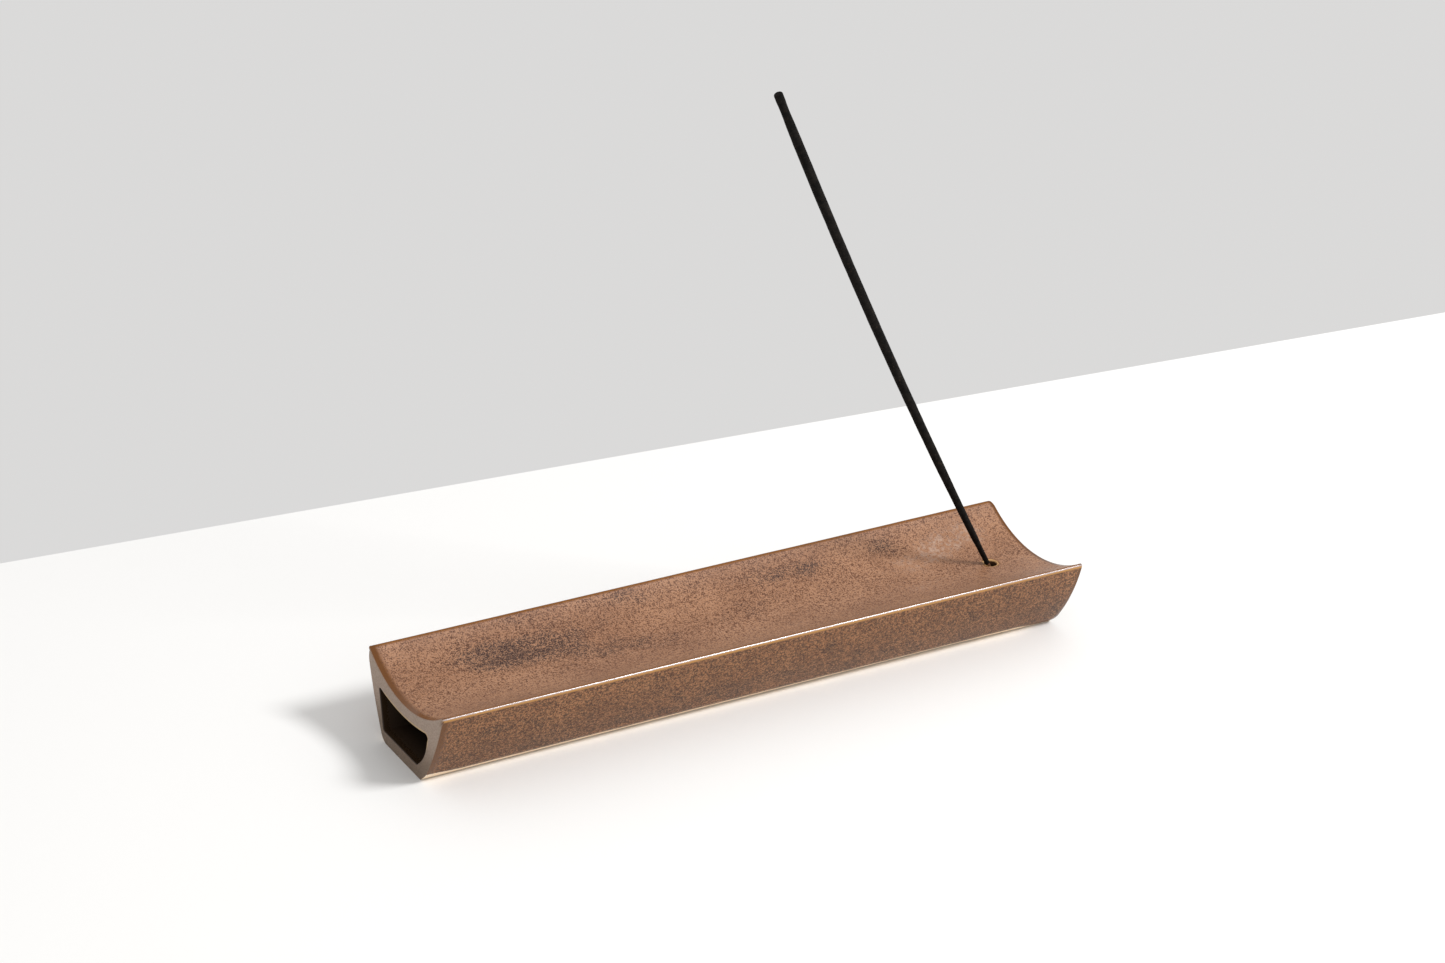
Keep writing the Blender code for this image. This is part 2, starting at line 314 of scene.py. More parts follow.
def bar_section(t):
    """The bar's outline, from the back lip across the trough and all the way round."""
    centre, foot, top, out, trough_slope, side_slope = lip_shape(t)
    bulge = blend_between(SIDE_BULGE, t)
    back_in, back_corner, back_up = round_foot(foot, out, bulge)
    front_in, front_corner, front_up, front = bevelled_foot(foot, out, bulge, t)
    first = math.pi / 2 + trough_slope
    last = side_slope - math.pi / 2
    points = arc(top, mirrored(top), top.y - TROUGH_FLOOR, TROUGH_STEPS, crowd=0.8)
    points += [mirrored(point) for point in lip_tip(centre, first, last)]
    points += arc(mirrored(out), mirrored(foot), -bulge, SIDE_STEPS, crowd=0.8, trims=(0.0, front))
    points += bend(mirrored(front_up), mirrored(front_corner), mirrored(front_in), BEND_STEPS)
    points += arc(mirrored(front_in), back_in, 0.0, BOTTOM_STEPS)
    points += bend(back_in, back_corner, back_up, BEND_STEPS)
    points += arc(foot, out, -bulge, SIDE_STEPS, crowd=0.8, trims=(FOOT_ROUND_BACK, 0.0))
    points += lip_tip(centre, last, first)
    return points


def tunnel_section():
    """The tunnel's outline, with as many points on each stretch as the bar's outline has."""
    corners = [Vector(corner) * MM for corner in TUNNEL_CORNERS]
    rounds = [width * MM for width in TUNNEL_ROUNDS]
    stretches = (TROUGH_STEPS, SIDE_STEPS, BOTTOM_STEPS, SIDE_STEPS)
    turns = (TIP_STEPS, TIP_STEPS, BEND_STEPS, BEND_STEPS)
    points = []
    for i in range(4):
        j = (i + 1) % 4
        k = (i + 2) % 4
        way = (corners[j] - corners[i]).normalized()
        next_way = (corners[k] - corners[j]).normalized()
        start = corners[i] + way * rounds[i]
        end = corners[j] - way * rounds[j]
        points += arc(start, end, TUNNEL_SAGS[i] * MM, stretches[i], crowd=0.4)
        points += bend(end, corners[j], corners[j] + next_way * rounds[j], turns[j])
    return points


def moved_inward(points, distance):
    """A closed outline, each point moved by distance to the left of the way round."""
    count = len(points)
    moved = []
    for i in range(count):
        way = points[(i + 1) % count] - points[i - 1]
        moved.append(points[i] + Vector((-way.y, way.x)).normalized() * distance)
    return moved


# ---------------------------------------------------------------- bar

def end_at(y, end):
    """How far the bar reaches in X at y. end is "near" or "far": its corners are round in plan."""
    side = "front" if y < 0 else "back"
    radius = CORNER_IN_PLAN[end + "_" + side]
    lip = LIP_OUT[0] if end == "near" else LIP_OUT[1]
    depth = lip - abs(y)
    if depth >= radius:
        return LENGTH / 2
    short = radius - max(depth, 0.0)
    return LENGTH / 2 - (radius - math.sqrt(max(radius * radius - short * short, 0.0)))


def wave(x, point):
    """How far hand finishing has taken the clay in at a point: nothing at the flat underside."""
    place = Vector((x, point.x * WAVE_ROUND_BAR, point.y * WAVE_ROUND_BAR)) / WAVE_LENGTH
    finer, share = WAVE_FINER
    size = 0.5 + 0.5 * noise.noise(place) + share * noise.noise(place * finer)
    return WAVINESS * min(1.0, max(0.0, size)) * smoothstep(0.0, WAVE_FADE_HEIGHT, point.y)


def waved(x, section):
    """The bar's outline at x, taken in by the wave."""
    count = len(section)
    points = []
    for i in range(count):
        way = section[(i + 1) % count] - section[i - 1]
        inward = Vector((-way.y, way.x)).normalized()
        points.append(section[i] + inward * wave(x, section[i]))
    return points


def skin_rows(section_at, radius, inward, ring_count):
    """Rows of points along the bar, from the near end to the far end, with round end edges."""
    rows = []
    for ring in range(-ROUND_RINGS, ring_count + ROUND_RINGS + 1):
        t = min(1.0, max(0.0, ring / ring_count))
        into = max(-ring, ring - ring_count, 0)
        angle = math.pi / 2 * into / ROUND_RINGS
        run = radius * (1 - math.sin(angle))
        inset = radius * (1 - math.cos(angle)) * inward
        section = section_at(t)
        moved = moved_inward(section, inset) if into else section
        row = []
        for plain, point in zip(section, moved):
            near = -end_at(plain.x, "near") + run
            far = end_at(plain.x, "far") - run
            height = point.y
            if inward > 0:
                height = plain.y + (point.y - plain.y) * smoothstep(0, FOOT_ROUND_BACK, plain.y)
            row.append(Vector((near + (far - near) * t, point.x, height)))
        rows.append(row)
    return rows


def cap_rows(outer, inner, end):
    """Rows across an end face, from the bar's outline to the tunnel's, both left out."""
    rows = []
    for step in range(1, CAP_RINGS):
        t = step / CAP_RINGS
        row = []
        for one, other in zip(outer, inner):
            point = one.lerp(other, t)
            point.x = math.copysign(end_at(point.y, end), one.x)
            row.append(point)
        rows.append(row)
    return rows


def closed_grid(name, rows):
    """A closed mesh from rows of points, each row a loop, the last one joined to the first."""
    width = len(rows[0])
    faces = []
    for i in range(len(rows)):
        here = i * width
        there = (i + 1) % len(rows) * width
        for j in range(width):
            k = (j + 1) % width
            faces.append((here + j, here + k, there + k, there + j))
    mesh = bpy.data.meshes.new(name)
    mesh.from_pydata([point for row in rows for point in row], [], faces)
    return mesh


def hole_cutter():
    """A turned spool: the upright hole, with a rounded rim where it meets each surface."""
    rim = []
    for step in range(HOLE_RIM_STEPS + 1):
        angle = HOLE_RIM_TURN * step / HOLE_RIM_STEPS
        rim.append((HOLE_RIM * (1 - math.cos(angle)), HOLE_RIM * (1 - math.sin(angle))))
    rim.append((rim[-1][0] + HOLE_CUT_PAST, rim[-1][1] - HOLE_CUT_PAST * HOLE_CUT_SLOPE))
    profile = [(HOLE_RADIUS + out, TUNNEL_CEILING + inward) for out, inward in reversed(rim)]
    profile += [(HOLE_RADIUS + out, TROUGH_FLOOR - inward) for out, inward in rim]
    points = []
    faces = []
    for radius, height in profile:
        for side in range(HOLE_SIDES):
            angle = 2 * math.pi * side / HOLE_SIDES
            uneven = 1 + 0.03 * math.sin(2 * angle + 0.6) + 0.015 * math.sin(5 * angle)
            points.append((HOLE_X + radius * uneven * math.cos(angle),
                           radius * uneven * math.sin(angle), height))
    for i in range(len(profile) - 1):
        for j in range(HOLE_SIDES):
            k = (j + 1) % HOLE_SIDES
            here = i * HOLE_SIDES
            there = here + HOLE_SIDES
            faces.append((here + j, here + k, there + k, there + j))
    faces.append(tuple(reversed(range(HOLE_SIDES))))
    faces.append(tuple(range(len(points) - HOLE_SIDES, len(points))))
    mesh = bpy.data.meshes.new("hole_cutter")
    mesh.from_pydata(points, [], faces)
    cutter = bpy.data.objects.new("hole_cutter", mesh)
    bpy.context.collection.objects.link(cutter)
    return cutter


def cut_hole(piece):
    """Cut the stick hole, with the Boolean's result kept as the piece's own mesh."""
    cutter = hole_cutter()
    cut = piece.modifiers.new("stick_hole", "BOOLEAN")
    cut.operation = "DIFFERENCE"
    cut.solver = "EXACT"
    cut.object = cutter
    bpy.context.view_layer.update()
    evaluated = piece.evaluated_get(bpy.context.evaluated_depsgraph_get())
    mesh = bpy.data.meshes.new_from_object(evaluated)
    piece.modifiers.clear()
    piece.data = mesh
    bpy.data.objects.remove(cutter)


def trough_patch(x, y):
    """How dense the speckle is on the trough, at a place in mm: patches over a slow drift."""
    drift = noise.noise(Vector((x / 21, y / 9, 3.7)))
    dense = 0.22 + 0.30 * drift + 0.25 * noise.noise(Vector((x / 7, y / 4, 9.1)))
    for middle_x, middle_y, wide, deep, strength in TROUGH_PATCHES:
        warp = 0.45 * noise.noise(Vector((x / 6, y / 5, middle_x)))
        reach = ((x - middle_x) / wide) ** 2 + ((y - middle_y) / deep) ** 2 + warp
        dense += strength * 0.75 * math.exp(-1.3 * max(reach, 0.0))
    calm = smoothstep(-4, -15, y) * 0.75
    return dense * (1 - calm)


def side_patch(x, z, seed):
    """How dense the speckle is on a side, at a place in mm: a little denser in the lower half."""
    drift = noise.noise(Vector((x / 17, z / 7, seed)))
    blotch = noise.noise(Vector((x / 6, z / 4, seed + 5)))
    low = smoothstep(23, 9, z)
    return 0.32 + 0.25 * low + 0.20 * drift + 0.40 * blotch


def glaze_attributes(piece):
    """Give each vertex the attributes that the glaze is painted by."""
    names = ("lip_run", "end", "cut", "inside", "mouth", "dense")
    values = {name: [] for name in names}
    opening = tunnel_section()
    for vertex in piece.data.vertices:
        found = glaze_at(vertex.co, opening)
        for name in names:
            values[name].append(found[name])
    for name in names:
        layer = piece.data.attributes.new(name, "FLOAT", "POINT")
        layer.data.foreach_set("value", values[name])


def run_over_lip(point, t):
    """Distance over the surface from the lip's crest, positive towards the trough.

    Also says whether the point is on the trough's side of the crest.
    """
    centre, _, top, out, trough_slope, side_slope = lip_shape(t)
    place = Vector((abs(point.y), point.z))
    away = place - centre
    turn = math.atan2(away.y, away.x) % (2 * math.pi)
    first = math.pi / 2 + trough_slope
    last = side_slope - math.pi / 2
    if turn <= first or turn >= 2 * math.pi + last:
        signed = turn if turn <= first else turn - 2 * math.pi
        run = (signed - math.pi / 2) * LIP_RADIUS
        return run, run > 0
    if turn < LIP_TURN_SPLIT:
        return trough_slope * LIP_RADIUS + (place - top).length, True
    return -(math.pi - side_slope) * LIP_RADIUS - (place - out).length, False


def glaze_at(point, opening):
    """A point's glaze attributes, with distances in millimetres.

    lip_run: from the lip's crest. end: from the bar's end, wider at the far end. cut: 1 on an end
    face. inside: 1 in the tunnel. mouth: from the tunnel's mouth. dense: how dense the speckle is.
    """
    t = point.x / LENGTH + 0.5
    end = "near" if point.x < 0 else "far"
    to_end = end_at(point.y, end) - abs(point.x)
    half_width = blend_between(FOOT_HALF_WIDTH, t)
    half_width += (blend_between(LIP_OUT, t) - half_width) * point.z / LIP_TOP
    low, high = TUNNEL_INSIDE
    in_tunnel = low < point.z < high and abs(point.y) < half_width - TUNNEL_WALL
    lip_run, on_trough = run_over_lip(point, t)
    if on_trough:
        dense = trough_patch(point.x / MM, point.y / MM)
    else:
        dense = side_patch(point.x / MM, point.z / MM, 2.0 if point.y < 0 else 40.0)
    mouth = MOUTH_FAR
    if to_end < MOUTH_ZONE:
        place = Vector((point.y, point.z))
        mouth = min((place - corner).length for corner in opening)
    return {
        "lip_run": lip_run / MM,
        "end": to_end / MM / END_LINE[end],
        "cut": 1.0 - smoothstep(ON_END_FACE, OFF_END_FACE, to_end),
        "inside": 1.0 if in_tunnel and to_end > ON_END_FACE else 0.0,
        "mouth": mouth / MM,
        "dense": dense,
    }


def stoneware_bar(material):
    """The glazed bar, in one closed mesh: its skin, both end faces, the tunnel and the hole."""
    sections = {}

    def section_at(t):
        if t not in sections:
            sections[t] = waved((t - 0.5) * LENGTH, bar_section(t))
        return sections[t]

    inner = tunnel_section()
    skin = skin_rows(section_at, END_ROUND, 1, BAR_RINGS)
    tunnel = skin_rows(lambda t: inner, MOUTH_ROUND, -1, TUNNEL_RINGS)
    rows = skin + cap_rows(skin[-1], tunnel[-1], "far")
    rows += list(reversed(tunnel))
    rows += list(reversed(cap_rows(skin[0], tunnel[0], "near")))
    piece = bpy.data.objects.new("stoneware_bar", closed_grid("stoneware_bar", rows))
    bpy.context.collection.objects.link(piece)
    piece.data.flip_normals()
    cut_hole(piece)
    glaze_attributes(piece)
    finish_piece(piece, material, "burner", "brown_glaze", "burner_body")


def finish_piece(piece, material, body, slot, *nodes):
    """Shade a piece smooth, give it its finish, and set it on its body in place of CAD nodes."""
    piece.data.shade_smooth()
    piece.data.set_sharp_from_angle(angle=SMOOTH_ANGLE)
    piece.data.materials.clear()
    piece.data.materials.append(material)
    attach(piece, body)
    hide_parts(*nodes)


# ---------------------------------------------------------------- stick

def stick_frame():
    """Where the stick meets the trough floor, and the turn that lays local Z along it."""
    lean = math.atan2(-STICK_AXIS.x, STICK_AXIS.z)
    hole_middle = (TROUGH_FLOOR + TUNNEL_CEILING) / 2
    foot = Vector((HOLE_X - (TROUGH_FLOOR - hole_middle) * math.tan(lean), 0, TROUGH_FLOOR))
    return Matrix.Translation(foot) @ Matrix.Rotation(-lean, 4, "Y"), lean


def stick_ring(distance, radii, place):
    """A ring of points round the bowed stick at a distance, its spokes as long as radii say."""
    bow_radius = STICK_SHOWING ** 2 / (8 * STICK_BOW)
    turn = max(distance, 0.0) / bow_radius
    middle = Vector((1 - math.cos(turn), 0, math.sin(turn))) * bow_radius
    middle.z += min(distance, 0.0)
    across = Vector((math.cos(turn), 0, -math.sin(turn)))
    ring = []
    for side, radius in enumerate(radii):
        angle = 2 * math.pi * side / len(radii)
        spoke = across * math.cos(angle) + Vector((0, 1, 0)) * math.sin(angle)
        ring.append(place @ (middle + spoke * radius))
    return ring


def paste_radius(distance):
    """The paste's radius at a distance, read smoothly between the widths."""
    run = distance / MM
    for (low, low_width), (high, high_width) in zip(PASTE_WIDTHS, PASTE_WIDTHS[1:]):
        if run <= high:
            return (low_width + (high_width - low_width) * smoothstep(low, high, run)) * MM / 2
    return PASTE_WIDTHS[-1][1] * MM / 2


def lumpy_radii(distance, radius):
    """Spokes of hand-rolled paste: long soft waves, small lumps and fine grit."""
    radii = []
    for side in range(STICK_SIDES):
        angle = 2 * math.pi * side / STICK_SIDES
        place = Vector((math.cos(angle) * 0.8, math.sin(angle) * 0.8, 0))
        slow = noise.noise(place * 0.6 + Vector((0, 0, distance / (9 * MM))))
        lump = noise.noise(place * 1.2 + Vector((7, 0, distance / (2.6 * MM))))
        grit = noise.noise(place * 3.0 + Vector((0, 9, distance / (0.9 * MM))))
        radii.append(radius * (1 + PASTE_LUMPS * (0.7 * slow + 0.6 * lump + 0.45 * grit)))
    return radii


def capped_piece(name, rows, bore_rows=None):
    """A closed piece from rows of loops: flat ends, or a bore that goes back in from the foot."""
    everything = rows + (bore_rows or [])
    width = len(rows[0])
    faces = []
    skip = len(rows) - 1 if bore_rows else None
    for i in range(len(everything) - 1):
        if i == skip:
            continue
        here = i * width
        for j in range(width):
            k = (j + 1) % width
            faces.append((here + j, here + k, here + width + k, here + width + j))
    last = (len(rows) - 1) * width
    faces.append(tuple(last + j for j in range(width)))
    if bore_rows:
        faces.append(tuple(last + width + j for j in reversed(range(width))))
        foot = (len(everything) - 1) * width
        for j in range(width):
            k = (j + 1) % width
            faces.append((foot + j, foot + k, k, j))
    else:
        faces.append(tuple(reversed(range(width))))
    mesh = bpy.data.meshes.new(name)
    mesh.from_pydata([point for row in everything for point in row], [], faces)
    piece = bpy.data.objects.new(name, mesh)
    bpy.context.collection.objects.link(piece)
    return piece


def incense_paste(material, place):
    """The black paste, from the hole's mouth to the blunt tip, with the bamboo's bore in it."""
    rows = []
    run = PASTE_END - PASTE_TIP_ROUND - PASTE_START
    count = int(run / STICK_RING_GAP)
    for step in range(count + 1):
        distance = PASTE_START + run * step / count
        to_foot = smoothstep(PASTE_START + PASTE_FOOT_ROUND, PASTE_START, distance)
        radius = paste_radius(distance) * (1 - PASTE_FOOT_THIN * to_foot)
        rows.append(stick_ring(distance, lumpy_radii(distance, radius), place))
    for step in range(1, PASTE_TIP_STEPS + 1):
        angle = PASTE_TIP_TURN * step / PASTE_TIP_STEPS
        distance = PASTE_END - PASTE_TIP_ROUND * (1 - math.sin(angle))
        radius = paste_radius(distance) - PASTE_TIP_ROUND * (1 - math.cos(angle))
        rows.append(stick_ring(distance, lumpy_radii(distance, radius), place))
    bore = []
    bore_radii = [BAMBOO_RADIUS + BORE_GAP] * STICK_SIDES
    bore_end = BAMBOO_TOP + BORE_PAST
    for step in range(BORE_STEPS + 1):
        distance = bore_end + (PASTE_START - bore_end) * step / BORE_STEPS
        bore.append(stick_ring(distance, bore_radii, place))
    piece = capped_piece("incense_paste", rows, bore)
    finish_piece(piece, material, "stick", "black_paste", "incense_coat")


def bamboo_splint(material, place, lean):
    """The bare bamboo, split and shaved nearly round, from the tunnel's floor up into the paste."""
    drop = TROUGH_FLOOR - TUNNEL_FLOOR - FLOOR_GAP - BAMBOO_RADIUS * math.sin(lean)
    bottom = -drop / math.cos(lean)
    rows = []
    for step in range(BAMBOO_STEPS + 1):
        distance = bottom + (BAMBOO_TOP - bottom) * step / BAMBOO_STEPS
        to_end = min(distance - bottom, BAMBOO_TOP - distance)
        radius = BAMBOO_RADIUS - BAMBOO_CHAMFER * smoothstep(0.3 * MM, 0.0, to_end)
        radii = []
        for side in range(STICK_SIDES):
            angle = 2 * math.pi * side / STICK_SIDES
            shaved = 1 - 0.03 * (1 + math.cos(4 * angle + 0.5)) / 2
            fibre = noise.noise(Vector((math.cos(angle) * 5, math.sin(angle) * 5, distance * 60)))
            radii.append(radius * (shaved - 0.012 + 0.012 * fibre))
        rows.append(stick_ring(distance, radii, place))
    piece = capped_piece("bamboo_splint", rows)
    finish_piece(piece, material, "stick", "bamboo", "bamboo_core")


# ---------------------------------------------------------------- materials

class Shade:
    """Short calls for building one material's nodes."""

    def __init__(self, name):
        self.material = bpy.data.materials.new(name)
        self.material.use_nodes = True
        self.tree = self.material.node_tree
        self.shader = self.tree.nodes["Principled BSDF"]
        self.place = self.tree.nodes.new("ShaderNodeTexCoord").outputs["Object"]

    def link(self, value, socket):
        if isinstance(value, bpy.types.NodeSocket):
            self.tree.links.new(value, socket)
        else:
            socket.default_value = value

    def attribute(self, name):
        node = self.tree.nodes.new("ShaderNodeAttribute")
        node.attribute_name = name
        return node.outputs["Fac"]

    def math(self, operation, one, other=0.0, clamp=False):
        node = self.tree.nodes.new("ShaderNodeMath")
        node.operation = operation
        node.use_clamp = clamp
        self.link(one, node.inputs[0])
        self.link(other, node.inputs[1])
        return node.outputs[0]

    def times(self, one, other):
        return self.math("MULTIPLY", one, other)

    def step(self, value, low, high, to_low=0.0, to_high=1.0):
        """A smooth step from to_low at low to to_high at high."""
        node = self.tree.nodes.new("ShaderNodeMapRange")
        node.interpolation_type = "SMOOTHSTEP"
        self.link(value, node.inputs["Value"])
        node.inputs["From Min"].default_value = low
        node.inputs["From Max"].default_value = high
        node.inputs["To Min"].default_value = to_low
        node.inputs["To Max"].default_value = to_high
        return node.outputs["Result"]

    def noise(self, size, detail=2.0, rough=0.5, stretch=(1, 1, 1), shift=0.0):
        """Noise from about 0 to 1, with features of about size metres."""
        mapping = self.tree.nodes.new("ShaderNodeMapping")
        self.link(self.place, mapping.inputs["Vector"])
        mapping.inputs["Location"].default_value = (shift, shift, shift)
        mapping.inputs["Scale"].default_value = stretch
        node = self.tree.nodes.new("ShaderNodeTexNoise")
        self.link(mapping.outputs[0], node.inputs["Vector"])
        node.inputs["Scale"].default_value = 1.0 / size
        node.inputs["Detail"].default_value = detail
        node.inputs["Roughness"].default_value = rough
        return node.outputs["Fac"]

    def mix(self, factor, one, other):
        node = self.tree.nodes.new("ShaderNodeMix")
        node.data_type = "RGBA"
        self.link(factor, node.inputs["Factor"])
        colours = [socket for socket in node.inputs if socket.type == "RGBA"]
        for value, socket in zip((one, other), colours):
            self.link((*value, 1.0) if isinstance(value, tuple) else value, socket)
        return [socket for socket in node.outputs if socket.type == "RGBA"][0]

    def tint(self, factor, colour, tint):
        """colour, multiplied by tint as far as factor says."""
        mixed = self.mix(factor, colour, tint)
        mixed.node.blend_type = "MULTIPLY"
        return mixed

    def bump(self, height, distance, strength=1.0):
        node = self.tree.nodes.new("ShaderNodeBump")
        node.inputs["Strength"].default_value = strength
        node.inputs["Distance"].default_value = distance
        self.link(height, node.inputs["Height"])
        self.link(node.outputs["Normal"], self.shader.inputs["Normal"])

    def set(self, name, value):
        self.link(value, self.shader.inputs[name])


def glaze_colour(shade, fine, finer, dense):
    """Warm brown, mottled all over with dark grains and small pale flecks, painted paler as sheen
    and wear.
    """
    drift = shade.step(shade.noise(16 * MM, detail=2.0, shift=1.7), 0.35, 0.68)
    light = shade.mix(drift, *GLAZE_LIGHT)
    clump = shade.math("SUBTRACT", shade.noise(1.3 * MM, detail=2.0, shift=14.0), 0.5)
    grain = shade.math("ADD", fine, shade.times(clump, 0.28))
    grain = shade.math("ADD", grain, shade.times(dense, 0.10))
    dark = shade.mix(shade.step(dense, 0.3, 0.9), GRAIN_DARK, GRAIN_DARK_DENSE)
    base = shade.mix(shade.step(grain, 0.457, 0.645), light, dark)
    base = shade.mix(shade.times(shade.step(finer, 0.52, 0.66), 0.55), base, FLECK_PALE)
    # Where the speckle is sparse the glaze is painted paler: a painted sheen with some wear.
    sheen_and_wear = shade.step(clump, -0.12, 0.22, 0.0, 0.75)
    return shade.mix(shade.times(shade.step(dense, 0.10, -0.45), sheen_and_wear), base, PALE_SHEEN_AND_WEAR)


def band(shade, value, out_low, in_low, in_high, out_high):
    """1 between in_low and in_high, falling smoothly to 0 at out_low and out_high."""
    return shade.times(shade.step(value, out_low, in_low), shade.step(value, out_high, in_high))


def side_colour(shade, base, side):
    """The sides: more olive than the trough, and pitted darker."""
    base = shade.tint(side, base, SIDE_TINT)
    pits = shade.noise(0.75 * MM, detail=2.5, rough=0.6, shift=21.0)
    pits = shade.times(shade.step(pits, 0.50, 0.56), side)
    return shade.mix(shade.times(pits, 0.75), base, SIDE_PIT)


def glaze_breaks(shade, base, ragged):
    """Where the glaze runs thin: amber inside the lips and at the ends, gold below the crest.

    Also gives back the crest's shoulder, where the glaze is thinnest and a pale highlight is
    painted, and what is glossy.
    """
    run = shade.math("ADD", shade.attribute("lip_run"), shade.times(ragged, 0.3))
    end = shade.math("ADD", shade.attribute("end"), ragged)
    base = side_colour(shade, base, shade.step(run, -1.3, -2.0))
    inner = band(shade, run, -0.60, -0.40, 0.35, 1.2)
    base = shade.mix(shade.times(inner, 0.94), base, LIP_AMBER)
    outer = band(shade, run, -2.6, -1.5, -1.0, -0.8)
    ends = shade.step(end, 3.3, 1.3)
    amber = shade.math("MAXIMUM", shade.times(outer, 0.4), ends)
    base = shade.mix(shade.times(amber, 0.94), base, END_AMBER)
    gold = band(shade, run, -2.05, -1.45, -1.08, -0.92)
    base = shade.mix(shade.times(gold, 0.90), base, LIP_GOLD)
    # The shoulder is painted pale: a painted highlight, under the coat's real gloss.
    shoulder = band(shade, run, -1.08, -0.90, -0.50, -0.32)
    base = shade.mix(shade.times(shoulder, 0.6), base, LIP_HIGHLIGHT_PAINT)
    return base, shoulder, shade.math("MAXIMUM", ends, band(shade, run, -2.0, -1.4, 0.6, 1.6))


def hole_glaze(shade, base, place, height, ragged):
    """The stick hole: gold where the glaze breaks over its rim, and painted shade down its wall."""
    along = shade.math("SUBTRACT", place.outputs["X"], HOLE_X)
    across = place.outputs["Y"]
    square = shade.math("ADD", shade.times(along, along), shade.times(across, across))
    away = shade.times(shade.math("SQRT", square), 1 / MM)
    away = shade.math("ADD", away, shade.times(ragged, 0.25))
    on_top = shade.step(height, 18.5, 18.9)
    amber = shade.times(shade.step(away, 3.5, 2.6), on_top)
    base = shade.mix(shade.times(amber, 0.8), base, HOLE_AMBER)
    rim = shade.times(band(shade, away, 2.05, 2.15, 2.45, 2.85), on_top)
    base = shade.mix(shade.times(rim, 0.85), base, HOLE_GOLD)
    # Painted shade: the hole's wall is darkened down towards the tunnel.
    wall = shade.times(shade.step(away, 2.6, 2.4), shade.step(height, 18.9, 18.5))
    wall = shade.times(wall, shade.step(height, 14.0, 15.0))
    return shade.mix(wall, base, HOLE_WALL_SHADE)


def bare_ends(shade, base, place, height, cut, grit):
    """The tunnel's dark inside and the taupe end faces, with gold along the mouth's upper edge."""
    inside = shade.attribute("inside")
    # Painted shade: the tunnel's inside is painted dark, darkest furthest from the mouth.
    deep = shade.mix(shade.step(shade.attribute("end"), 14.0, 1.0), TUNNEL_DEEP_SHADE, TUNNEL_MOUTH_SHADE)
    base = shade.mix(inside, base, deep)
    grain = shade.step(grit, 0.3, 0.7)
    low = shade.mix(grain, *END_FACE_LOW)
    high = shade.mix(grain, *END_FACE_HIGH)
    taupe = shade.mix(shade.step(height, 5.0, 17.0), low, high)
    base = shade.mix(shade.times(cut, shade.math("SUBTRACT", 1.0, inside)), base, taupe)
    edge = shade.step(shade.attribute("mouth"), 0.85, 0.45)
    edge = shade.times(edge, shade.step(height, 11.0, 14.0))
    edge = shade.times(edge, shade.step(place.outputs["Y"], 0.014, 0.012))
    return shade.mix(shade.times(edge, 0.8), base, MOUTH_GOLD)


def foot_clay(shade, place, height, ragged, cut):
    """Where the foot is wiped bare: a strip that widens at the near end and runs out at the far."""
    wobble = shade.math("SUBTRACT", shade.noise(9 * MM, detail=3.0, shift=6.0), 0.5)
    line = shade.math("ADD", height, wobble)
    line = shade.math("ADD", line, shade.times(ragged, 0.25))
    line = shade.math("ADD", line, shade.step(place.outputs["X"], -0.103, -0.1145, 0.0, -1.1))
    line = shade.math("ADD", line, shade.step(place.outputs["X"], 0.098, 0.112, 0.0, 2.0))
    return shade.times(shade.step(line, 2.50, 2.20), shade.math("SUBTRACT", 1.0, cut))


def glaze_surface(shade, fine, finer, grit, shoulder, glossy, cut, clay):
    """Satin, glossier where the glaze runs thin, dull where it is bare, with a fine tooth."""
    satin = shade.step(fine, 0.3, 0.7, 0.44, 0.56)
    rough = shade.math("SUBTRACT", satin, shade.times(glossy, 0.32))
    dull = shade.times(shade.math("MAXIMUM", cut, clay), 0.32)
    shade.set("Roughness", shade.math("ADD", rough, dull, clamp=True))
    shade.set("IOR", 1.42)
    shade.set("Coat Weight", shade.times(shoulder, 0.45))
    shade.set("Coat Roughness", 0.12)
    shade.set("Coat IOR", 1.75)
    skin = shade.math("ADD", shade.times(fine, 0.6), shade.times(finer, 0.25))
    skin = shade.math("ADD", skin, shade.times(shade.times(cut, grit), 1.2))
    shade.bump(skin, 0.06 * MM, 0.6)


def glaze_material():
    """Satin iron glaze: warm brown, finely speckled, breaking to amber where it runs thin."""
    shade = Shade("brown_glaze")
    fine = shade.noise(0.50 * MM, detail=2.5, rough=0.66)
    finer = shade.noise(0.30 * MM, detail=1.5, rough=0.6, shift=3.1)
    grit = shade.noise(0.45 * MM, detail=3.0, rough=0.7, shift=8.0)
    ragged = shade.times(shade.math("SUBTRACT", fine, 0.5), 1.6)
    place = shade.tree.nodes.new("ShaderNodeSeparateXYZ")
    shade.link(shade.place, place.inputs[0])
    height = shade.times(place.outputs["Z"], 1 / MM)
    cut = shade.attribute("cut")
    base = glaze_colour(shade, fine, finer, shade.attribute("dense"))
    base, shoulder, glossy = glaze_breaks(shade, base, ragged)
    base = hole_glaze(shade, base, place, height, ragged)
    base = bare_ends(shade, base, place, height, cut, grit)
    clay = foot_clay(shade, place, height, ragged, cut)
    raw = shade.mix(shade.step(grit, 0.3, 0.7), *RAW_CLAY)
    shade.set("Base Color", shade.mix(clay, base, raw))
    glaze_surface(shade, fine, finer, grit, shoulder, glossy, cut, clay)
    return shade.material


